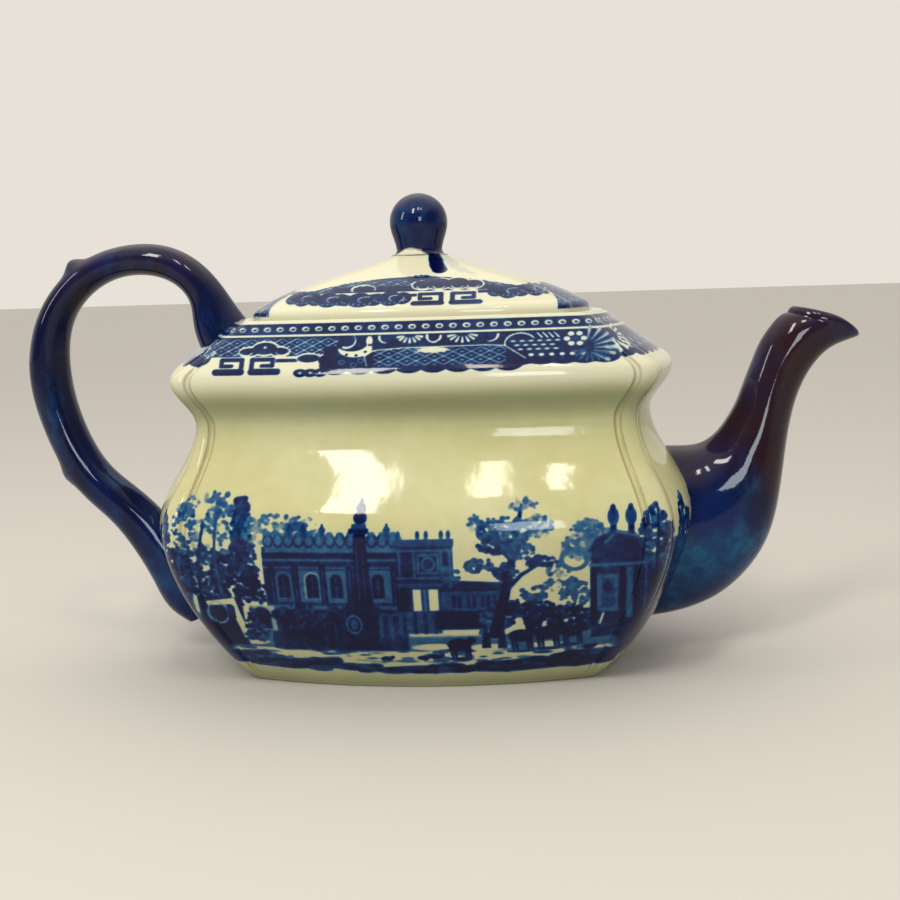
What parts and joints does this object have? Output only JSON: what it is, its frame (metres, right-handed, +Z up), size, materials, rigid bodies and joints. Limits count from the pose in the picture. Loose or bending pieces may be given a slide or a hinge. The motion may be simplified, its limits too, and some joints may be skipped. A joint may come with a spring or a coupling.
{
  "type": "teapot",
  "caption": "Oblong lobed stoneware teapot with a lift-off domed lid, egg-shaped knob, loop handle and curved spout, cream glaze with blue printed decoration and cobalt trim.",
  "frame": {"origin": "middle of the foot's resting plane, on the pot's upright axis", "axes": "+Z up, +X towards the spout, -X towards the handle, Y across the pot"},
  "size_m": [0.2653, 0.114, 0.1471],
  "materials": {
    "body_glaze": "gloss",
    "spout_glaze": "gloss",
    "handle_glaze": "gloss",
    "lid_glaze": "gloss",
    "knob_glaze": "gloss"
  },
  "bodies": {
    "pot": {"pot_body": "body_glaze", "spout": "spout_glaze", "handle": "handle_glaze"},
    "lid": {"lid": "lid_glaze", "lid_knob": "knob_glaze"}
  },
  "joints": [
    {"name": "lid_lift", "type": "slide", "parent": "pot", "child": "lid", "axis": [0, 0, 1], "range_m": [0, 0.06]}
  ]
}
